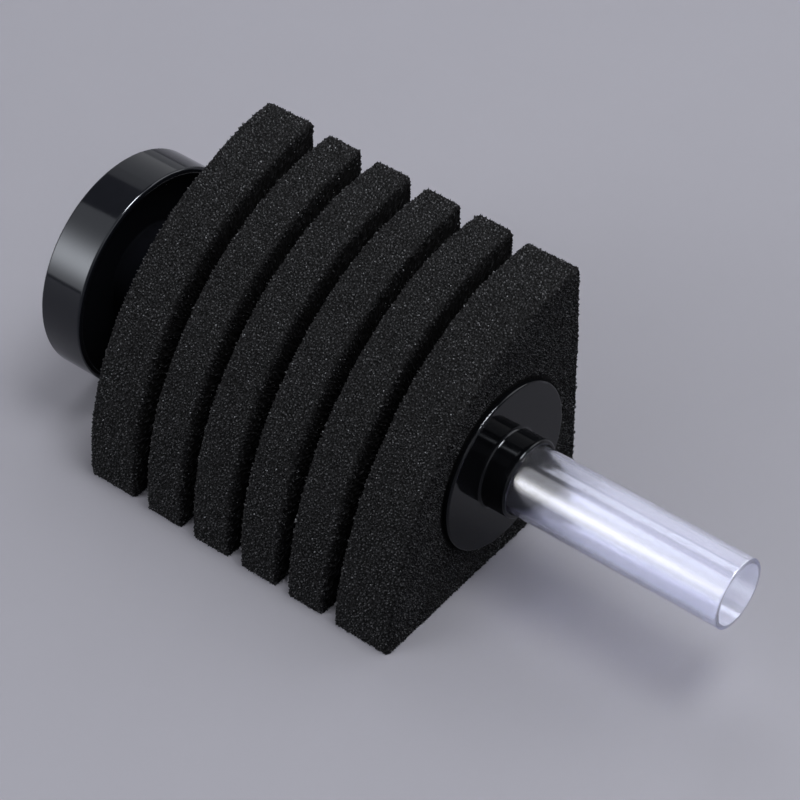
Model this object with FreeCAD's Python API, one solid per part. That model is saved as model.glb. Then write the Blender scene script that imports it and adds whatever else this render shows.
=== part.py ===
import FreeCAD, Part
import math
import os

# Corner sponge filter, lying on one flat of its foam.
# +X runs along the riser tube towards its open mouth, +Z is up, and the foam's other flat faces +Y.
# The origin is the centre of the base's underside, on the one axis that every round part shares.
# All sizes are in millimetres.

# ---- Driving dimensions -------------------------------------------------------------------------

# Foam block: a quarter-round bar with grooves cut all round it down to a round core
FOAM_SIDE = 63.0            # straight side of the quarter circle, and the radius of its arc
AXIS_TO_FLAT = 26.5         # from the filter's axis to each of the two flats
FOAM_START = 21.5           # the block's face nearest the base
BASE_END_RIB = 12.6
INNER_RIB = 10.2
INNER_RIB_COUNT = 4
TUBE_END_RIB = 14.0
GROOVE_WIDTH = 3.5
GROOVE_FLOOR_RADIUS = 17.0
FOAM_BORE_RADIUS = 11.3

# Riser tube
RISER_RADIUS = 8.0
RISER_WALL = 1.0
RISER_PAST_FOAM = 59.6

# End caps: one moulding used twice, with a plate, a collar outside it and a spigot inside the core
PLATE_RADIUS = 19.7
PLATE_THICKNESS = 1.2
COLLAR_RADIUS = 9.1
COLLAR_LENGTH = 6.3
SPIGOT_LENGTH = 10.0
LEDGE_RADIUS = 7.2          # the ledge that stops whatever is pushed into the cap's bore
LEDGE_THICKNESS = 1.2

# Strainer core: the slotted tube inside the foam
CORE_RADIUS = 11.0
CORE_BORE_RADIUS = 9.5
SLOTS_AROUND = 8
SLOT_ROWS = 5
SLOT_LENGTH = 10.0
SLOT_WIDTH = 3.2
SLOT_ROW_PITCH = 12.6

# Air diffuser in the lower cap
DIFFUSER_DISC_THICKNESS = 3.0
BARB_RADIUS = 2.4
BARB_NECK_RADIUS = 1.9
BARB_LENGTH = 12.0
AIR_HOLE_RADIUS = 1.1
BUBBLE_HOLE_RADIUS = 0.5
BUBBLE_HOLE_COUNT = 8
BUBBLE_HOLE_CIRCLE = 4.6

# Weighted base: a cup that opens towards the foam, with a neck for the lower cap's collar
BASE_RADIUS = AXIS_TO_FLAT
BASE_HEIGHT = 11.3
BASE_WALL = 1.5
BASE_DECK_TOP = 7.6
BASE_DECK_THICKNESS = 1.5
NECK_RADIUS = 12.0
NECK_WALL = 1.6
COVER_RADIUS = 24.3
COVER_THICKNESS = 1.6
BALLAST_RADIUS = 23.4
BALLAST_HOLE_RADIUS = 11.6

# Clearances
FACE_GAP = 0.3              # between faces of parts that move apart
RUNNING_GAP = 0.05          # radial, where one part slides in another
STOP_GAP = 0.1              # at the riser's stop
SEAT_GAP = 0.1              # round the sealed ballast and the base's cover

# Edge rounding
FINE_ROUND = 0.3
RIM_ROUND = 0.5
ROOT_ROUND = 0.6

# ---- Worked-out positions along the axis --------------------------------------------------------

GROOVE_COUNT = INNER_RIB_COUNT + 1
FOAM_LENGTH = BASE_END_RIB + INNER_RIB_COUNT * INNER_RIB + TUBE_END_RIB + GROOVE_COUNT * GROOVE_WIDTH
FOAM_END = FOAM_START + FOAM_LENGTH
LOWER_PLATE_TOP = FOAM_START - FACE_GAP
UPPER_PLATE_BOTTOM = FOAM_END + FACE_GAP
CAP_BORE_RADIUS = RISER_RADIUS + RUNNING_GAP
SPIGOT_RADIUS = CORE_BORE_RADIUS - RUNNING_GAP
RISER_START = UPPER_PLATE_BOTTOM - SPIGOT_LENGTH + LEDGE_THICKNESS + STOP_GAP
RISER_END = FOAM_END + RISER_PAST_FOAM
LOWER_COLLAR_END = LOWER_PLATE_TOP - PLATE_THICKNESS - COLLAR_LENGTH
NECK_TOP = LOWER_PLATE_TOP - PLATE_THICKNESS - FACE_GAP
SOCKET_FLOOR = LOWER_COLLAR_END - FACE_GAP
DECK_BOTTOM = BASE_DECK_TOP - BASE_DECK_THICKNESS

X_AXIS = FreeCAD.Vector(1, 0, 0)
ORIGIN = FreeCAD.Vector(0, 0, 0)
EDGE_TOLERANCE = 1e-4


# ---- Helpers ------------------------------------------------------------------------------------

def turned(outline):
    """A solid turned about the X axis from a closed outline of (x, radius) corners."""
    points = [FreeCAD.Vector(x, 0, radius) for x, radius in outline]
    points.append(points[0])
    return Part.Face(Part.makePolygon(points)).revolve(ORIGIN, X_AXIS, 360)


def rod(radius, start, end):
    """A plain cylinder on the X axis."""
    return Part.makeCylinder(radius, end - start, FreeCAD.Vector(start, 0, 0), X_AXIS)


def is_circle(edge, x, radius):
    """Whether an edge is the circle about the X axis at that place."""
    if not isinstance(edge.Curve, Part.Circle):
        return False
    curve = edge.Curve
    off_place = abs(curve.Center.x - x) + math.hypot(curve.Center.y, curve.Center.z)
    return off_place < EDGE_TOLERANCE and abs(curve.Radius - radius) < EDGE_TOLERANCE


def rounded(solid, circles):
    """The solid with its circular edges rounded; circles lists (x, radius, rounding)."""
    for x, radius, rounding in circles:
        edges = [edge for edge in solid.Edges if is_circle(edge, x, radius)]
        solid = solid.makeFillet(rounding, edges)
    return solid


def mirrored_in(solid, x):
    """The solid mirrored in the plane square to the axis at x."""
    return solid.mirror(FreeCAD.Vector(x, 0, 0), X_AXIS)


def save(shape, node):
    """Writes one sub-part and prints its size as a check."""
    shape.exportStep("parts/%s.step" % node)
    print("%-15s valid %s  solids %d  volume %.1f" % (node, shape.isValid(), len(shape.Solids), shape.Volume))


# ---- Foam ---------------------------------------------------------------------------------------

def foam_rib(start, width):
    """One rib: a quarter-round plate whose square corner is away from the arc."""
    corner = FreeCAD.Vector(start, AXIS_TO_FLAT, -AXIS_TO_FLAT)
    top = corner + FreeCAD.Vector(0, 0, FOAM_SIDE)
    tip = corner + FreeCAD.Vector(0, -FOAM_SIDE, 0)
    half = FOAM_SIDE * math.sqrt(0.5)
    middle = corner + FreeCAD.Vector(0, -half, half)
    outline = Part.Wire([
        Part.LineSegment(corner, top).toShape(),
        Part.Arc(top, middle, tip).toShape(),
        Part.LineSegment(tip, corner).toShape(),
    ])
    return Part.Face(outline).extrude(X_AXIS * width)


def foam_block():
    """Six ribs on a round core, with the strainer's bore right through."""
    widths = [BASE_END_RIB] + [INNER_RIB] * INNER_RIB_COUNT + [TUBE_END_RIB]
    block = rod(GROOVE_FLOOR_RADIUS, FOAM_START, FOAM_END)
    start = FOAM_START
    for width in widths:
        block = block.fuse(foam_rib(start, width))
        start += width + GROOVE_WIDTH
    block = block.cut(rod(FOAM_BORE_RADIUS, FOAM_START, FOAM_END))
    return block.removeSplitter()


# ---- Core and caps ------------------------------------------------------------------------------

def strainer_core():
    """The slotted tube that holds the foam open and lets filtered water into the riser."""
    start = LOWER_PLATE_TOP
    end = UPPER_PLATE_BOTTOM - FACE_GAP
    tube = rod(CORE_RADIUS, start, end).cut(rod(CORE_BORE_RADIUS, start, end))
    tube = rounded(tube, [(start, CORE_RADIUS, FINE_ROUND), (end, CORE_RADIUS, FINE_ROUND)])
    first_row = (start + end - (SLOT_ROWS - 1) * SLOT_ROW_PITCH - SLOT_LENGTH) / 2
    slots = []
    for row in range(SLOT_ROWS):
        for turn in range(SLOTS_AROUND):
            slot = Part.makeBox(SLOT_LENGTH, SLOT_WIDTH, CORE_RADIUS + RIM_ROUND)
            slot.translate(FreeCAD.Vector(first_row + row * SLOT_ROW_PITCH, -SLOT_WIDTH / 2, 0))
            slot.rotate(ORIGIN, X_AXIS, turn * 360 / SLOTS_AROUND)
            slots.append(slot)
    return tube.cut(slots)


def upper_cap():
    """Plate, collar and spigot in one, with a ledge inside that stops the riser tube."""
    spigot_end = UPPER_PLATE_BOTTOM - SPIGOT_LENGTH
    plate_top = UPPER_PLATE_BOTTOM + PLATE_THICKNESS
    collar_end = plate_top + COLLAR_LENGTH
    cap = turned([
        (spigot_end, LEDGE_RADIUS),
        (spigot_end, SPIGOT_RADIUS),
        (UPPER_PLATE_BOTTOM, SPIGOT_RADIUS),
        (UPPER_PLATE_BOTTOM, PLATE_RADIUS),
        (plate_top, PLATE_RADIUS),
        (plate_top, COLLAR_RADIUS),
        (collar_end, COLLAR_RADIUS),
        (collar_end, CAP_BORE_RADIUS),
        (spigot_end + LEDGE_THICKNESS, CAP_BORE_RADIUS),
        (spigot_end + LEDGE_THICKNESS, LEDGE_RADIUS),
    ])
    return rounded(cap, [
        (plate_top, COLLAR_RADIUS, ROOT_ROUND),
        (plate_top, PLATE_RADIUS, RIM_ROUND),
        (collar_end, COLLAR_RADIUS, RIM_ROUND),
        (collar_end, CAP_BORE_RADIUS, FINE_ROUND),
        (spigot_end, SPIGOT_RADIUS, FINE_ROUND),
    ])


def lower_cap():
    """The same moulding turned round, at the other end of the core."""
    return mirrored_in(upper_cap(), (LOWER_PLATE_TOP + UPPER_PLATE_BOTTOM) / 2)


def air_diffuser():
    """A plug in the lower cap's bore, with a hose barb up the middle and bubble holes round it."""
    disc_top = LOWER_PLATE_TOP + SPIGOT_LENGTH - LEDGE_THICKNESS
    disc_bottom = disc_top - DIFFUSER_DISC_THICKNESS
    tip = disc_top + BARB_LENGTH
    ridge = tip - BARB_LENGTH / 3
    body = turned([
        (disc_bottom, AIR_HOLE_RADIUS),
        (disc_bottom, RISER_RADIUS),
        (disc_top, RISER_RADIUS),
        (disc_top, BARB_NECK_RADIUS),
        (ridge, BARB_NECK_RADIUS),
        (ridge, BARB_RADIUS),
        (tip, BARB_NECK_RADIUS),
        (tip, AIR_HOLE_RADIUS),
    ])
    holes = []
    for index in range(BUBBLE_HOLE_COUNT):
        angle = 2 * math.pi * index / BUBBLE_HOLE_COUNT
        place = FreeCAD.Vector(
            disc_bottom,
            BUBBLE_HOLE_CIRCLE * math.cos(angle),
            BUBBLE_HOLE_CIRCLE * math.sin(angle),
        )
        holes.append(Part.makeCylinder(BUBBLE_HOLE_RADIUS, DIFFUSER_DISC_THICKNESS, place, X_AXIS))
    return body.cut(holes)


def riser_tube():
    """The clear tube, open at both ends."""
    bore = RISER_RADIUS - RISER_WALL
    tube = rod(RISER_RADIUS, RISER_START, RISER_END).cut(rod(bore, RISER_START, RISER_END))
    return rounded(tube, [(RISER_END, RISER_RADIUS, FINE_ROUND), (RISER_START, RISER_RADIUS, FINE_ROUND)])


# ---- Weighted base ------------------------------------------------------------------------------

def base_shell():
    """The cup: wall, deck and a neck with the socket for the lower cap's collar."""
    socket_radius = COLLAR_RADIUS + RUNNING_GAP
    inner_wall = BASE_RADIUS - BASE_WALL
    cover_seat = COVER_THICKNESS + SEAT_GAP
    neck_cavity = NECK_RADIUS - NECK_WALL
    neck_web = SOCKET_FLOOR - NECK_WALL
    shell = turned([
        (0, COVER_RADIUS + SEAT_GAP),
        (0, BASE_RADIUS),
        (BASE_HEIGHT, BASE_RADIUS),
        (BASE_HEIGHT, inner_wall),
        (BASE_DECK_TOP, inner_wall),
        (BASE_DECK_TOP, NECK_RADIUS),
        (NECK_TOP, NECK_RADIUS),
        (NECK_TOP, socket_radius),
        (SOCKET_FLOOR, socket_radius),
        (SOCKET_FLOOR, 0),
        (neck_web, 0),
        (neck_web, neck_cavity),
        (DECK_BOTTOM, neck_cavity),
        (DECK_BOTTOM, BALLAST_RADIUS + SEAT_GAP),
        (cover_seat, BALLAST_RADIUS + SEAT_GAP),
        (cover_seat, COVER_RADIUS + SEAT_GAP),
    ])
    return rounded(shell, [
        (0, BASE_RADIUS, RIM_ROUND),
        (BASE_HEIGHT, BASE_RADIUS, ROOT_ROUND),
        (BASE_HEIGHT, inner_wall, RIM_ROUND),
        (BASE_DECK_TOP, NECK_RADIUS, ROOT_ROUND),
        (NECK_TOP, NECK_RADIUS, RIM_ROUND),
        (NECK_TOP, socket_radius, FINE_ROUND),
    ])


def base_cover():
    """The closing plate, flush with the rim that the filter stands on in use."""
    return rounded(rod(COVER_RADIUS, 0, COVER_THICKNESS), [(0, COVER_RADIUS, FINE_ROUND)])


def ballast_disc():
    """The heavy ring sealed between the deck and the cover."""
    start = COVER_THICKNESS + SEAT_GAP
    end = DECK_BOTTOM - SEAT_GAP
    return rod(BALLAST_RADIUS, start, end).cut(rod(BALLAST_HOLE_RADIUS, start, end))


# ---- Assembly -----------------------------------------------------------------------------------

os.makedirs("parts", exist_ok=True)
save(foam_block(), "foam_block")
save(strainer_core(), "strainer_core")
save(upper_cap(), "upper_cap")
save(lower_cap(), "lower_cap")
save(air_diffuser(), "air_diffuser")
save(riser_tube(), "riser_tube")
save(base_shell(), "base_shell")
save(base_cover(), "base_cover")
save(ballast_disc(), "ballast_disc")
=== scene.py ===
import math

import bpy
import numpy as np
from mathutils import Matrix, Vector


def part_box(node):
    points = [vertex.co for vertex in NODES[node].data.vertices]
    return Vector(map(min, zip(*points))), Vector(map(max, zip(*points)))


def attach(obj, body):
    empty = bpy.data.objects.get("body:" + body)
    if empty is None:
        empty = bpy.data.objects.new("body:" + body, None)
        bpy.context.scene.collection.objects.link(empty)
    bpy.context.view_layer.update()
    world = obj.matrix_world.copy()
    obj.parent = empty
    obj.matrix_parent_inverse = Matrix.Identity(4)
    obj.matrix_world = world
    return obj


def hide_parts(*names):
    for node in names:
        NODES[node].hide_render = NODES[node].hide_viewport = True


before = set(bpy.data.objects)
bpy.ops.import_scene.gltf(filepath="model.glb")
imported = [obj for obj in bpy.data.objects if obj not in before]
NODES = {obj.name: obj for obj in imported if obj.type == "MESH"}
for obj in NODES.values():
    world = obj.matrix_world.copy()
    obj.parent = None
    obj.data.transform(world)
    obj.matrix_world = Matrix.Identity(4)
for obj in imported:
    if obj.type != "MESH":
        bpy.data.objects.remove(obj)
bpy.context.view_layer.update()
MM = 0.001

# ---- Places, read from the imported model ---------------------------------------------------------

foam_low, foam_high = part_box("foam_block")
AXIS_TO_FLAT = foam_high.y
FOAM_SIDE = foam_high.z - foam_low.z
FOAM_START, FOAM_END = foam_low.x, foam_high.x
FLOOR_Z = foam_low.z
COLLAR_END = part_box("upper_cap")[1].x
PLATE_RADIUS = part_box("upper_cap")[1].y

# The foam's ribs and its round core, and the inside of the base, as in the CAD source
RIB_WIDTHS = [12.6 * MM] + [10.2 * MM] * 4 + [14.0 * MM]
GROOVE = 3.5 * MM
CORE_RADIUS = 17.0 * MM
BORE_RADIUS = 11.3 * MM
CUP_INSIDE = 24.9 * MM        # the base's wall is outside this radius

# ---- Foam sampling ------------------------------------------------------------------------------

AROUND = 1080                 # points round the section
FLAT_POINTS = 600             # fine points along each flat, before they are spaced evenly
ARC_POINTS = 900              # fine points along the arc
END_POINTS = 24               # fine points round each end of the arc
SQUARE_POINTS = 12            # fine points round the square corner
BAND_STEP = 0.21 * MM         # between rows along a rib's outer band
GROOVE_SIDE_ROWS = 20         # rows up the side of a groove
BASE_END_ROWS = 80            # rows up the end face towards the base
TUBE_END_ROWS = 130           # rows up the end face towards the tube
GROOVE_FLOOR_STEPS = 4
BORE_STEPS = 8
EDGE_ROUND = 0.80 * MM        # rounding between a rib's band and its sides
CORNER_ROUND = 0.45 * MM      # rounding of the section's corners
PORE = 0.46 * MM              # size of one foam cell
PORE_DEPTH = 0.16 * MM
PORE_STEEPNESS = 3.4          # how fast a cell sinks from its struts
FUZZ_DEPTH = 0.10 * MM        # fine roughness of the cut
WAVE_DEPTH = 0.40 * MM        # slow waviness of the cut
CUT_LIFT = 0.14 * MM          # makes up for part of what the cells, fuzz and waves take away
STRUT_TIP = 0.42 * MM         # spacing of the pale cut ends of struts
STRUT_REACH = 0.55 * MM       # how far the longest cut struts stand out of the surface
STRUT_BLOCK = 3               # one strut stands out in every block of so many points each way
SHORTEST_STRUT = 0.45         # as a share of the longest
STUB = 0.30                   # the longest stub between the struts, as a share of the longest strut
STRUT_DRIFT = 0.11 * MM       # sideways scatter of the struts
SWELL = 0.40 * MM             # how far the cut foam stands out, so that its struts end at the outline
SEED = 7
# How far each rib's cut faces lean along the block, in mm: (everywhere, at the top corner, at the tip)
BASE_SIDE_LEAN = [(0, 0, 0), (0.6, 0.6, 0.4), (0.2, 0.8, 0.5), (0.2, 0.8, 0.4), (0.1, 0.8, 0.2), (0, 0.3, -0.4)]
TUBE_SIDE_LEAN = [(0, 0, 0.3), (0, 0, 0.4), (0, 0, 0.4), (0, 0, 0.2), (0, 0, -0.5), (0, 0, 0)]
# How far each rib's corners stand out beyond the block's section, in mm: (top corner, tip)
CORNER_RISE = [(1.1, -0.3), (0.5, 0.2), (0.1, 0.5), (-0.3, 0.6), (-0.3, 0.9), (-1.0, 1.2)]
TOP_SPREAD = 20 * MM          # how far from the top corner its leans and rises reach
TIP_SPREAD = 24 * MM          # the same for the tip
NO_LEAN = (0.0,) * 5

rng = np.random.default_rng(SEED)


def link(obj):
    bpy.context.scene.collection.objects.link(obj)
    return obj


def smooth(t):
    return t * t * (3 - 2 * t)


# ---- Node helpers -------------------------------------------------------------------------------

def new_material(name):
    mat = bpy.data.materials.new(name)
    mat.use_nodes = True
    nodes = mat.node_tree.nodes
    return mat, mat.node_tree, nodes["Principled BSDF"]


def node(tree, kind, **settings):
    made = tree.nodes.new(kind)
    for key, value in settings.items():
        setattr(made, key, value)
    return made


def put(made, **values):
    """Sets unlinked inputs by name; underscores stand for spaces."""
    for key, value in values.items():
        made.inputs[key.replace("_", " ")].default_value = value
    return made


def ramp(tree, source, stops):
    """A colour ramp with the given (place, value or colour) stops."""
    made = tree.nodes.new("ShaderNodeValToRGB")
    elements = made.color_ramp.elements
    while len(elements) < len(stops):
        elements.new(0.5)
    for element, (place, value) in zip(elements, stops):
        element.position = place
        colour = value if hasattr(value, "__len__") else (value, value, value)
        element.color = (*colour, 1)
    tree.links.new(source, made.inputs["Fac"])
    return made.outputs["Color"]


def maths(tree, operation, a, b=None, clamp=False):
    made = node(tree, "ShaderNodeMath", operation=operation, use_clamp=clamp)
    for socket, value in zip(made.inputs, (a, b)):
        if value is None:
            continue
        if isinstance(value, (int, float)):
            socket.default_value = value
        else:
            tree.links.new(value, socket)
    return made.outputs[0]


def mix_colour(tree, factor, a, b):
    made = node(tree, "ShaderNodeMix", data_type="RGBA")
    for socket, value in ((made.inputs[0], factor), (made.inputs[6], a), (made.inputs[7], b)):
        if hasattr(value, "is_linked"):
            tree.links.new(value, socket)
        elif hasattr(value, "__len__"):
            socket.default_value = (*value, 1)
        else:
            socket.default_value = value
    return made.outputs[2]


def bump(tree, height, distance, strength=1.0):
    made = put(node(tree, "ShaderNodeBump"), Strength=strength, Distance=distance)
    tree.links.new(height, made.inputs["Height"])
    return made.outputs["Normal"]


def object_coordinates(tree):
    return node(tree, "ShaderNodeTexCoord").outputs["Object"]


def texture(tree, kind, vector, **values):
    settings = {k: v for k, v in values.items() if k[0].islower()}
    sockets = {k: v for k, v in values.items() if k[0].isupper()}
    made = put(node(tree, kind, **settings), **sockets)
    tree.links.new(vector, made.inputs["Vector"])
    return made


def noise(tree, vector, scale, detail, roughness):
    return texture(tree, "ShaderNodeTexNoise", vector, Scale=scale, Detail=detail, Roughness=roughness)


def voronoi(tree, vector, feature, scale):
    return texture(tree, "ShaderNodeTexVoronoi", vector, feature=feature, Scale=scale, Randomness=1.0)


def mapped(tree, vector, **values):
    made = put(node(tree, "ShaderNodeMapping"), **values)
    tree.links.new(vector, made.inputs["Vector"])
    return made.outputs["Vector"]


def shades(tree, factor, colour, darker, paler):
    """The colour, varied between so many times darker and so many times paler."""
    return mix_colour(tree, factor, tuple(darker * c for c in colour), tuple(paler * c for c in colour))


# ---- Materials ----------------------------------------------------------------------------------

RARE = 0.985                  # cells of a random texture above this are the rare ones: painted glints on the foam, specks of dust on the plastic

def foam_material():
    """Charcoal open-cell foam; its colour paints light and shade onto its own dark grain: near-black in the
    cells for the shade in the open pores, paler on the raised cut struts for the light on them, and a few
    painted glints.
    """
    mat, tree, shader = new_material("foam_open_cell")
    rest = node(tree, "ShaderNodeAttribute", attribute_name="rest").outputs["Vector"]
    spike = node(tree, "ShaderNodeAttribute", attribute_name="spike").outputs["Fac"]
    cells = voronoi(tree, rest, "DISTANCE_TO_EDGE", 1 / PORE)
    tips = voronoi(tree, rest, "F1", 1 / STRUT_TIP)
    cloud = noise(tree, rest, 220.0, 3.0, 0.6)
    edge = ramp(tree, cells.outputs["Distance"], [(0.0, 1.0), (0.07, 0.55), (0.16, 0.05), (0.3, 0.0)])
    tip = ramp(tree, tips.outputs["Distance"], [(0.10, 1.3), (0.26, 0.5), (0.42, 0.0)])
    proud = ramp(tree, spike, [(0.06, 0.03), (0.32, 0.20), (0.8, 1.0)])
    # Painted shade: the foam's colour darkens with depth down each groove.
    groove = node(tree, "ShaderNodeAttribute", attribute_name="groove").outputs["Fac"]
    painted_groove_shade = ramp(tree, maths(tree, "MULTIPLY", groove, 0.25), [(0.0, 1.0), (0.2, 0.62), (0.6, 0.30)])
    tone = ramp(tree, cloud.outputs["Fac"], [(0.3, 0.8), (0.7, 1.15)])
    tone = maths(tree, "MULTIPLY", tone, painted_groove_shade)
    # Painted light and shade on the foam's own grain: paler where the struts stand out, near-black in the cells
    # between them.
    web = maths(tree, "ADD", maths(tree, "ADD", maths(tree, "MULTIPLY", edge, 0.6), tip), 0.15, clamp=True)
    strut = maths(tree, "MULTIPLY", web, proud)
    level = maths(tree, "MULTIPLY", strut, tone, clamp=True)
    body = mix_colour(tree, level, (0.0016, 0.0016, 0.0018), (0.108, 0.110, 0.118))
    # Painted glints: a few rare strut tips are given a pale colour.
    split = node(tree, "ShaderNodeSeparateColor")
    tree.links.new(tips.outputs["Color"], split.inputs["Color"])
    rare = maths(tree, "GREATER_THAN", split.outputs["Red"], RARE)
    near = maths(tree, "LESS_THAN", tips.outputs["Distance"], 0.28)
    painted_glint = maths(tree, "MULTIPLY", rare, near)
    tree.links.new(mix_colour(tree, painted_glint, body, (0.17, 0.175, 0.19)), shader.inputs["Base Color"])
    tree.links.new(ramp(tree, level, [(0.0, 0.95), (1.0, 0.55)]), shader.inputs["Roughness"])
    put(shader, Specular_IOR_Level=0.03)
    tree.links.new(bump(tree, strut, 0.12 * MM, 0.8), shader.inputs["Normal"])
    return mat


def gloss_plastic(name, colour, roughness, wear, ior, matt_and_painted_shade_within=None):
    """Moulded black plastic: faint flow marks, hairline scratches and a little dust.

    The last argument is the radius inside which a cup keeps its mould's spark-eroded matt finish, with its
    shine cut almost to nothing as painted shade in the recess."""
    mat, tree, shader = new_material(name)
    place = object_coordinates(tree)
    flow = noise(tree, place, 60.0, 2.0, 0.5)
    cloud = noise(tree, place, 420.0, 4.0, 0.65)
    dust = voronoi(tree, place, "F1", 520.0)
    stretched = mapped(tree, place, Rotation=(0.5, 0.9, 0.3), Scale=(1.0, 26.0, 1.0))
    lines = noise(tree, stretched, 110.0, 2.0, 0.7)
    scratch = ramp(tree, lines.outputs["Fac"], [(0.66, 0.0), (0.70, 1.0)])
    split = node(tree, "ShaderNodeSeparateColor")
    tree.links.new(dust.outputs["Color"], split.inputs["Color"])
    rare = maths(tree, "GREATER_THAN", split.outputs["Green"], RARE)
    small = maths(tree, "LESS_THAN", dust.outputs["Distance"], 0.10)
    mote = maths(tree, "MULTIPLY", rare, small)
    tone = shades(tree, cloud.outputs["Fac"], colour, 0.8, 1.25)
    tree.links.new(mix_colour(tree, mote, tone, (0.16, 0.16, 0.17)), shader.inputs["Base Color"])
    rough = ramp(tree, cloud.outputs["Fac"], [(0.25, roughness * 0.8), (0.8, roughness * 1.3)])
    worn = maths(tree, "ADD", rough, maths(tree, "MULTIPLY", scratch, wear), clamp=True)
    if matt_and_painted_shade_within:
        across = node(tree, "ShaderNodeVectorMath", operation="MULTIPLY")
        tree.links.new(place, across.inputs[0])
        across.inputs[1].default_value = (0, 1, 1)
        reach = node(tree, "ShaderNodeVectorMath", operation="LENGTH")
        tree.links.new(across.outputs[0], reach.inputs[0])
        inside = maths(tree, "LESS_THAN", reach.outputs["Value"], matt_and_painted_shade_within)
        worn = maths(tree, "ADD", worn, maths(tree, "MULTIPLY", inside, 0.5), clamp=True)
        # Painted shade: inside the cup the shine drops almost to nothing, darkening the recess; outside it
        # stays glossy.
        shine_and_painted_shade = maths(tree, "SUBTRACT", 0.5, maths(tree, "MULTIPLY", inside, 0.49))
        tree.links.new(shine_and_painted_shade, shader.inputs["Specular IOR Level"])
    tree.links.new(worn, shader.inputs["Roughness"])
    put(shader, IOR=ior, Specular_Tint=(0.86, 0.91, 1.0, 1.0))
    tree.links.new(bump(tree, flow.outputs["Fac"], 0.05 * MM, 0.5), shader.inputs["Normal"])
    return mat


def matte_plastic(name, colour):
    """Finely textured black plastic for the inner pieces."""
    mat, tree, shader = new_material(name)
    place = object_coordinates(tree)
    grain = noise(tree, place, 2600.0, 2.0, 0.6)
    cloud = noise(tree, place, 140.0, 3.0, 0.6)
    tone = shades(tree, cloud.outputs["Fac"], colour, 0.75, 1.3)
    tree.links.new(tone, shader.inputs["Base Color"])
    tree.links.new(ramp(tree, grain.outputs["Fac"], [(0.3, 0.32), (0.7, 0.48)]), shader.inputs["Roughness"])
    tree.links.new(bump(tree, grain.outputs["Fac"], 0.03 * MM, 0.6), shader.inputs["Normal"])
    return mat


def cast_iron():
    """Rough cast ballast."""
    mat, tree, shader = new_material("ballast_iron")
    place = object_coordinates(tree)
    lumps = noise(tree, place, 900.0, 5.0, 0.7)
    rust = noise(tree, place, 120.0, 4.0, 0.6)
    tone = ramp(tree, rust.outputs["Fac"], [(0.35, (0.06, 0.06, 0.063)), (0.7, (0.12, 0.10, 0.09))])
    tree.links.new(tone, shader.inputs["Base Color"])
    tree.links.new(ramp(tree, lumps.outputs["Fac"], [(0.3, 0.55), (0.7, 0.85)]), shader.inputs["Roughness"])
    put(shader, Metallic=0.6)
    tree.links.new(bump(tree, lumps.outputs["Fac"], 0.2 * MM, 0.7), shader.inputs["Normal"])
    return mat


CLEAR_ROOT = 4 * MM           # the tube is clear for so far beyond the collar
HAZE_FULL = 25 * MM           # and has its full haze of scuffs from here on; the clearer stretch before it paints the shade next to the foam


def tube_material():
    """Clear extruded plastic with a lavender cast, faint draw lines, and a haze of scuffs beyond the collar,
    kept clear next to the collar as painted shade.
    """
    mat, tree, shader = new_material("clear_tube")
    place = object_coordinates(tree)
    draw = noise(tree, mapped(tree, place, Scale=(0.04, 1.0, 1.0)), 900.0, 3.0, 0.6)
    cloud = noise(tree, place, 160.0, 3.0, 0.6)
    tone = mix_colour(tree, cloud.outputs["Fac"], (0.905, 0.92, 1.0), (0.93, 0.94, 1.0))
    tree.links.new(tone, shader.inputs["Base Color"])
    tree.links.new(ramp(tree, draw.outputs["Fac"], [(0.3, 0.12), (0.7, 0.17)]), shader.inputs["Roughness"])
    along = node(tree, "ShaderNodeSeparateXYZ")
    tree.links.new(place, along.inputs[0])
    # Painted shade: less haze near the collar darkens the tube where the foam shades it; further out the haze
    # is scuffing.
    scuff_haze_and_painted_shade = node(tree, "ShaderNodeMapRange", interpolation_type="SMOOTHSTEP")
    put(scuff_haze_and_painted_shade, From_Min=COLLAR_END + CLEAR_ROOT, From_Max=COLLAR_END + HAZE_FULL, To_Min=0.99, To_Max=0.90)
    tree.links.new(along.outputs["X"], scuff_haze_and_painted_shade.inputs["Value"])
    tree.links.new(scuff_haze_and_painted_shade.outputs["Result"], shader.inputs["Transmission Weight"])
    put(shader, IOR=1.38, Coat_Weight=1.0, Coat_IOR=1.55, Coat_Roughness=0.05)
    depth = node(tree, "ShaderNodeVolumeAbsorption")
    put(depth, Color=(0.45, 0.52, 1.0, 1.0), Density=90.0)
    tree.links.new(depth.outputs["Volume"], tree.nodes["Material Output"].inputs["Volume"])
    tree.links.new(bump(tree, draw.outputs["Fac"], 0.02 * MM, 0.15), shader.inputs["Normal"])
    return mat


def floor_material():
    """Plain pale card with the faintest mottling."""
    mat, tree, shader = new_material("floor_plain")
    place = object_coordinates(tree)
    cloud = noise(tree, place, 40.0, 3.0, 0.6)
    tone = mix_colour(tree, cloud.outputs["Fac"], (0.168, 0.168, 0.192), (0.174, 0.174, 0.199))
    tree.links.new(tone, shader.inputs["Base Color"])
    put(shader, Roughness=0.7, Specular_IOR_Level=0.2)
    return mat


# ---- Foam ---------------------------------------------------------------------------------------

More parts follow.
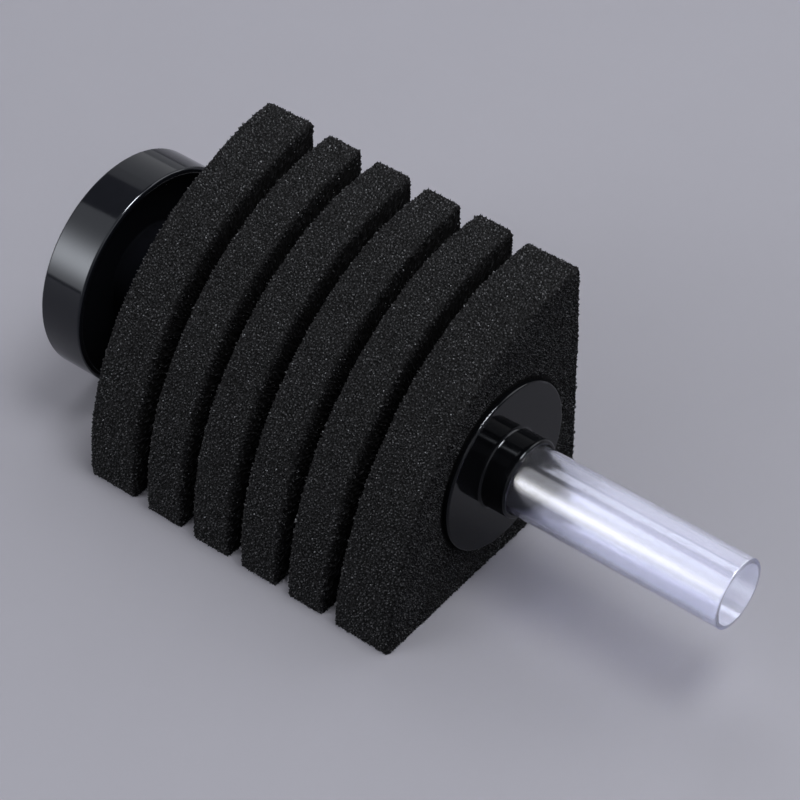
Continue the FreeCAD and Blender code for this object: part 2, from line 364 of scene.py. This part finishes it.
def section_outline():
    """Evenly spaced points (y, z) round the quarter circle, with its three corners rounded."""
    c, side, r = AXIS_TO_FLAT, FOAM_SIDE, CORNER_ROUND
    centre = np.array([c, -c])

    def run(a, b, count=FLAT_POINTS):
        return [a + (b - a) * i / count for i in range(count)]

    def turn(mid, start, end, count, radius=r):
        angles = [start + (end - start) * i / count for i in range(count)]
        return [mid + radius * np.array([math.cos(a), math.sin(a)]) for a in angles]

    # At each end of the arc the rounding touches the flat and the arc from inside
    lean = math.asin(r / (side - r))
    reach = (side - r) * math.cos(lean)
    top_mid = centre + np.array([-r, reach])
    tip_mid = centre + np.array([-reach, r])
    half = math.pi / 2
    points = []
    points += run(centre + np.array([0, r]), centre + np.array([0, reach]))
    points += turn(top_mid, 0, half + lean, END_POINTS)
    points += turn(centre, half + lean, math.pi - lean, ARC_POINTS, side)
    points += turn(tip_mid, math.pi - lean, 3 * half, END_POINTS)
    points += run(centre + np.array([-reach, 0]), centre + np.array([-r, 0]))
    points += turn(centre + np.array([-r, r]), 3 * half, 4 * half, SQUARE_POINTS)
    points = np.array(points)
    loop = np.vstack([points, points[:1]])
    along = np.concatenate([[0], np.cumsum(np.linalg.norm(np.diff(loop, axis=0), axis=1))])
    wanted = np.linspace(0, along[-1], AROUND, endpoint=False)
    return np.column_stack([np.interp(wanted, along, loop[:, k]) for k in (0, 1)])


def cut_face(x, count):
    """Rows up a cut face. Up a groove's side they crowd towards the outer edge."""
    shares = [i / count for i in range(count + 1)]
    if count == GROOVE_SIDE_ROWS:
        shares = [math.sin(share * math.pi / 2) for share in shares]
    return [(x, CORE_RADIUS, share, EDGE_ROUND) for share in shares]


def outer_band(x, width):
    """Rows along a rib's outer band, with its two rounded edges."""
    angles = [i * math.pi / 12 for i in (1, 3, 5)]
    start, end = x + EDGE_ROUND, x + width - EDGE_ROUND
    count = max(2, round((end - start) / BAND_STEP))
    places = [(start - EDGE_ROUND * math.cos(a), EDGE_ROUND * (1 - math.sin(a))) for a in angles]
    places += [(start + (end - start) * i / count, 0.0) for i in range(count + 1)]
    places += [(end + EDGE_ROUND * math.sin(a), EDGE_ROUND * (1 - math.cos(a))) for a in angles]
    return [(place, CORE_RADIUS, 1.0, inside) for place, inside in places]


def foam_rows():
    """Rows round the block, from the bore's one end over the outside and back through the bore.

    Each is (x, inner radius, share of the way out, distance inside the outline, three leans, two rises)."""
    rows = []
    leans = []
    middle = (BORE_RADIUS + CORE_RADIUS) / 2
    last_rib = len(RIB_WIDTHS) - 1
    x = FOAM_START
    rows += [(x, BORE_RADIUS, 0.0, 0.0), (x, middle, 0.0, 0.0)]
    leans += [NO_LEAN] * 2
    for index, width in enumerate(RIB_WIDTHS):
        near = cut_face(x, BASE_END_ROWS if index == 0 else GROOVE_SIDE_ROWS)
        outside = outer_band(x, width)
        x += width
        far = cut_face(x, TUBE_END_ROWS if index == last_rib else GROOVE_SIDE_ROWS)[::-1]
        rib = near + outside + far
        rows += rib
        rises = [MM * rise for rise in CORNER_RISE[index]]
        for row in rib:
            part = min(1, (x - row[0]) / width)
            pair = zip(BASE_SIDE_LEAN[index], TUBE_SIDE_LEAN[index])
            leans.append([MM * (a * part + b * (1 - part)) for a, b in pair] + rises)
        if index != last_rib:
            steps = range(1, GROOVE_FLOOR_STEPS)
            rows += [(x + GROOVE * k / GROOVE_FLOOR_STEPS, CORE_RADIUS, 0.0, 0.0) for k in steps]
            leans += [NO_LEAN] * len(steps)
            x += GROOVE
    rows += [(x, middle, 0.0, 0.0), (x, BORE_RADIUS, 0.0, 0.0)]
    length = FOAM_START - FOAM_END
    rows += [(FOAM_END + length * k / BORE_STEPS, BORE_RADIUS, 0.0, 0.0) for k in range(1, BORE_STEPS)]
    leans += [NO_LEAN] * (len(rows) - len(leans))
    return np.hstack([np.array(rows), np.array(leans)])


def strut_heights(shape):
    """How far each point stands out, 0 to 1: one strut in every block of points, and stubs between."""
    i, j = np.indices(shape)
    blocks = tuple(n // STRUT_BLOCK + 1 for n in shape)
    pick_row, pick_column = (rng.integers(0, STRUT_BLOCK, blocks) for _ in range(2))
    block = (i // STRUT_BLOCK, j // STRUT_BLOCK)
    standing = (i % STRUT_BLOCK == pick_row[block]) & (j % STRUT_BLOCK == pick_column[block])
    return np.where(standing, rng.uniform(SHORTEST_STRUT, 1.0, shape), STUB * rng.random(shape))


def nearness(outline, corner, spread):
    """How near each point of the section is to that corner of the block's box, 0 to 1."""
    away = np.hypot(outline[:, 0] - corner.y, outline[:, 1] - corner.z)
    return smooth(np.clip(1 - away / spread, 0, 1))


def point_attribute(mesh, name, values):
    made = mesh.attributes.new(name, "FLOAT", "POINT")
    made.data.foreach_set("value", values.reshape(-1).astype(np.float32))


def foam_mesh():
    """One closed grid over the whole block, rings round the section by rows along it."""
    outline = section_outline()
    reach = np.linalg.norm(outline, axis=1)
    direction = outline / reach[:, None]
    rows = foam_rows()
    columns = (rows[:, k][:, None] for k in range(rows.shape[1]))
    x, inner, share, inside, lean, top_lean, tip_lean, top_rise, tip_rise = columns
    count_rows = len(rows)
    points = np.empty((count_rows, AROUND, 3))
    to_top = nearness(outline, foam_high, TOP_SPREAD)
    to_tip = nearness(outline, foam_low, TIP_SPREAD)
    swollen = reach + SWELL + top_rise * to_top + tip_rise * to_tip
    radius = inner * (1 - share) + (swollen - inside) * share
    points[:, :, 0] = x + share * (lean + top_lean * to_top[None, :] + tip_lean * to_tip[None, :])
    points[:, :, 1] = radius * direction[None, :, 0]
    points[:, :, 2] = radius * direction[None, :, 1]
    # Each point drifts sideways a little, except in the bore and where the caps' plates press the foam
    between = (x > FOAM_START + 2 * EDGE_ROUND) & (x < FOAM_END - 2 * EDGE_ROUND)
    pressed = np.where(between, BORE_RADIUS + MM, PLATE_RADIUS)
    loose = np.clip((radius - pressed) / MM, 0, 1)
    points += STRUT_DRIFT * loose[:, :, None] * rng.uniform(-1, 1, points.shape)
    strut = strut_heights(radius.shape)
    i, j = np.meshgrid(np.arange(count_rows), np.arange(AROUND), indexing="ij")
    i2, j2 = (i + 1) % count_rows, (j + 1) % AROUND
    corners = [i * AROUND + j, i * AROUND + j2, i2 * AROUND + j2, i2 * AROUND + j]
    quads = np.stack(corners, -1).reshape(-1, 4)
    mesh = bpy.data.meshes.new("foam_block_cells")
    mesh.vertices.add(count_rows * AROUND)
    mesh.vertices.foreach_set("co", points.reshape(-1).astype(np.float32))
    mesh.loops.add(len(quads) * 4)
    mesh.loops.foreach_set("vertex_index", quads.reshape(-1).astype(np.int32))
    mesh.polygons.add(len(quads))
    mesh.polygons.foreach_set("loop_start", np.arange(0, len(quads) * 4, 4, dtype=np.int32))
    mesh.update(calc_edges=True)
    mesh.validate()
    point_attribute(mesh, "spike", strut * loose)
    # How far down a groove each point is, in millimetres, which the foam's colour uses for its painted shade
    point_attribute(mesh, "groove", np.where(between, (swollen - radius) / MM, 0.0))
    return mesh


def carve_cells(obj):
    """Sinks each foam cell below its struts, and roughens the cut faces, by geometry nodes."""
    tree = bpy.data.node_groups.new("carve_cells", "GeometryNodeTree")
    tree.interface.new_socket("Geometry", in_out="INPUT", socket_type="NodeSocketGeometry")
    tree.interface.new_socket("Geometry", in_out="OUTPUT", socket_type="NodeSocketGeometry")
    start, end = node(tree, "NodeGroupInput"), node(tree, "NodeGroupOutput")
    place = node(tree, "GeometryNodeInputPosition").outputs[0]
    normal = node(tree, "GeometryNodeInputNormal").outputs[0]
    store = node(tree, "GeometryNodeStoreNamedAttribute", data_type="FLOAT_VECTOR", domain="POINT")
    store.inputs["Name"].default_value = "rest"
    tree.links.new(start.outputs[0], store.inputs["Geometry"])
    tree.links.new(place, store.inputs["Value"])
    cells = voronoi(tree, place, "DISTANCE_TO_EDGE", 1 / PORE)
    fuzz = noise(tree, place, 1500.0, 1.0, 0.5)
    wave = noise(tree, place, 75.0, 2.0, 0.5)
    sunk = maths(tree, "MULTIPLY", cells.outputs["Distance"], PORE_STEEPNESS, clamp=True)
    pit = maths(tree, "MULTIPLY", sunk, PORE_DEPTH)
    rough = maths(tree, "MULTIPLY", fuzz.outputs["Fac"], FUZZ_DEPTH)
    sway = maths(tree, "MULTIPLY", wave.outputs["Fac"], WAVE_DEPTH)
    depth = maths(tree, "ADD", maths(tree, "ADD", pit, rough), sway)
    spike = node(tree, "GeometryNodeInputNamedAttribute", data_type="FLOAT")
    spike.inputs["Name"].default_value = "spike"
    proud = maths(tree, "MULTIPLY", spike.outputs["Attribute"], STRUT_REACH)
    outward = maths(tree, "ADD", maths(tree, "SUBTRACT", CUT_LIFT, depth), proud)
    move = node(tree, "ShaderNodeVectorMath", operation="SCALE")
    tree.links.new(normal, move.inputs[0])
    tree.links.new(outward, move.inputs["Scale"])
    shift = node(tree, "GeometryNodeSetPosition")
    tree.links.new(store.outputs["Geometry"], shift.inputs["Geometry"])
    tree.links.new(move.outputs[0], shift.inputs["Offset"])
    tree.links.new(shift.outputs["Geometry"], end.inputs[0])
    obj.modifiers.new("carve_cells", "NODES").node_group = tree
    bpy.context.view_layer.update()
    graph = bpy.context.evaluated_depsgraph_get()
    carved = bpy.data.meshes.new_from_object(obj.evaluated_get(graph), depsgraph=graph)
    obj.modifiers.clear()
    old, obj.data = obj.data, carved
    bpy.data.meshes.remove(old)
    carved.name = "foam_block_cells"


def keep_above_floor(obj):
    """The flat that the filter lies on presses its cells level with the floor."""
    co = np.empty(len(obj.data.vertices) * 3, np.float32)
    obj.data.vertices.foreach_get("co", co)
    co = co.reshape(-1, 3)
    co[:, 2] = np.maximum(co[:, 2], FLOOR_Z)
    obj.data.vertices.foreach_set("co", co.reshape(-1))
    obj.data.update()


def build_foam():
    obj = link(bpy.data.objects.new("foam_open_cell", foam_mesh()))
    carve_cells(obj)
    keep_above_floor(obj)
    obj.data.materials.clear()
    obj.data.materials.append(foam_material())
    obj.data.shade_smooth()
    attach(obj, "foam")
    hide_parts("foam_block")


# ---- CAD pieces that stay -----------------------------------------------------------------------

def dress(name, mat):
    obj = NODES[name]
    obj.data.materials.clear()
    obj.data.materials.append(mat)


build_foam()
base_black = gloss_plastic(
    "base_gloss_black", (0.0030, 0.0033, 0.0045), roughness=0.085, wear=0.10, ior=1.365, matt_and_painted_shade_within=CUP_INSIDE
)
cap_black = gloss_plastic("cap_gloss_black", (0.0015, 0.0016, 0.0020), roughness=0.075, wear=0.14, ior=1.25)
inner_black = matte_plastic("inner_black", (0.012, 0.012, 0.013))
dress("base_shell", base_black)
dress("base_cover", matte_plastic("cover_black", (0.010, 0.010, 0.011)))
dress("ballast_disc", cast_iron())
dress("upper_cap", cap_black)
dress("lower_cap", cap_black)
dress("strainer_core", inner_black)
dress("air_diffuser", inner_black)
dress("riser_tube", tube_material())

# ---- Floor --------------------------------------------------------------------------------------

FLOOR_HALF = 3.0
floor_mesh = bpy.data.meshes.new("floor")
floor_mesh.from_pydata(
    [(-FLOOR_HALF, -FLOOR_HALF, FLOOR_Z), (FLOOR_HALF, -FLOOR_HALF, FLOOR_Z),
     (FLOOR_HALF, FLOOR_HALF, FLOOR_Z), (-FLOOR_HALF, FLOOR_HALF, FLOOR_Z)],
    [], [(0, 1, 2, 3)],
)
floor = link(bpy.data.objects.new("floor", floor_mesh))
floor.data.materials.append(floor_material())

# ---- Light --------------------------------------------------------------------------------------

def centred_on(tree, centre, size, half_width, half_height):
    """How far a point of the lamp is from a glow's centre, squared, in units of the glow's own half size."""
    place = node(tree, "ShaderNodeNewGeometry").outputs["Parametric"]
    shift = node(tree, "ShaderNodeVectorMath", operation="SUBTRACT")
    tree.links.new(place, shift.inputs[0])
    shift.inputs[1].default_value = (*centre, 0)
    scaled = node(tree, "ShaderNodeVectorMath", operation="MULTIPLY")
    tree.links.new(shift.outputs[0], scaled.inputs[0])
    scaled.inputs[1].default_value = (size[0] / half_width, size[1] / half_height, 0)
    squared = node(tree, "ShaderNodeVectorMath", operation="DOT_PRODUCT")
    tree.links.new(scaled.outputs[0], squared.inputs[0])
    tree.links.new(scaled.outputs[0], squared.inputs[1])
    return squared.outputs["Value"]


def soft_box(name, towards, distance, size, radiance, hot=None, seen_in="all"):
    """A rectangular light of that brightness on that side of the object, facing it.

    seen_in is "all", "glints" for shiny surfaces only, or "matt" for matt surfaces only.
    hot gives (across, up, half width, half height, boost): a glow where the lamp sits behind the cloth."""
    data = bpy.data.lights.new(name, "AREA")
    data.shape = "RECTANGLE"
    data.size, data.size_y = size
    data.energy = radiance * math.pi * size[0] * size[1]
    lamp = link(bpy.data.objects.new(name, data))
    lamp.visible_diffuse = seen_in != "glints"
    lamp.visible_glossy = seen_in != "matt"
    away = Vector(towards).normalized()
    middle = Vector(((FOAM_START + FOAM_END) / 2, 0, 0))
    lamp.location = middle + away * distance
    lamp.rotation_mode = "QUATERNION"
    lamp.rotation_quaternion = away.to_track_quat("Z", "Y")
    if hot:
        across, upward, half_width, half_height, boost = hot
        data.use_nodes = True
        tree = data.node_tree
        squared = centred_on(tree, (across, upward), size, half_width, half_height)
        glow = maths(tree, "POWER", math.e, maths(tree, "MULTIPLY", squared, -1.0))
        strength = maths(tree, "ADD", maths(tree, "MULTIPLY", glow, boost), 1.0)
        tree.links.new(strength, tree.nodes["Emission"].inputs["Strength"])


OVERHEAD = (0.25, 0.12, 0.96)
soft_box("key", (-0.459, -0.66, 0.594), 1.1, (1.0, 1.55), 1.30, hot=(0.5, 0.33, 0.25, 0.29, 7.8))
soft_box("top", OVERHEAD, 1.15, (0.50, 0.45), 13.0)
soft_box("top_glint", OVERHEAD, 1.14, (0.35, 0.40), 60.0, seen_in="glints")
soft_box("wall", (-0.459, 0.73, 0.50), 1.3, (1.8, 0.9), 0.50)
soft_box("shade", (-0.38, 0.42, 0.82), 1.2, (0.5, 0.5), 5.0, seen_in="matt")
soft_box("back", (0.35, 0.72, 0.60), 1.3, (1.0, 0.9), 3.7)
soft_box("fill", (0.75, -0.25, 0.55), 1.3, (1.2, 1.2), 1.30)

world = bpy.data.worlds.new("studio")
bpy.context.scene.world = world
world.use_nodes = True
sky = world.node_tree
height = node(sky, "ShaderNodeSeparateXYZ")
sky.links.new(node(sky, "ShaderNodeTexCoord").outputs["Generated"], height.inputs[0])
SKY = [(0.0, (0.62, 0.63, 0.68)), (0.5, (0.40, 0.41, 0.45)), (0.75, (0.18, 0.18, 0.20))]
tint = ramp(sky, height.outputs["Z"], SKY)
sky.links.new(tint, sky.nodes["Background"].inputs["Color"])
sky.nodes["Background"].inputs["Strength"].default_value = 0.8

bpy.context.scene.view_settings.view_transform = "Standard"

# ---- Camera -------------------------------------------------------------------------------------

AZIMUTH, ELEVATION, ROLL = 39.324, 43.561, -0.733
DISTANCE, LENS = 0.6249, 132.90
TARGET = Vector((0.07963, 0.0, 0.00253))

azimuth, elevation, roll = (math.radians(v) for v in (AZIMUTH, ELEVATION, ROLL))
level = Vector((math.cos(azimuth), math.sin(azimuth), 0))
outwards = Vector((math.sin(azimuth), -math.cos(azimuth), 0))
back = outwards * math.cos(elevation) + Vector((0, 0, math.sin(elevation)))
upward = back.cross(level)
right = level * math.cos(roll) + upward * math.sin(roll)
up = upward * math.cos(roll) - level * math.sin(roll)
camera = link(bpy.data.objects.new("camera", bpy.data.cameras.new("camera")))
camera.data.lens = LENS
camera.data.sensor_width = 36.0
camera.data.clip_start, camera.data.clip_end = 0.01, 20.0
camera.matrix_world = Matrix((
    (right.x, up.x, back.x, TARGET.x + back.x * DISTANCE),
    (right.y, up.y, back.y, TARGET.y + back.y * DISTANCE),
    (right.z, up.z, back.z, TARGET.z + back.z * DISTANCE),
    (0, 0, 0, 1),
))
bpy.context.scene.camera = camera
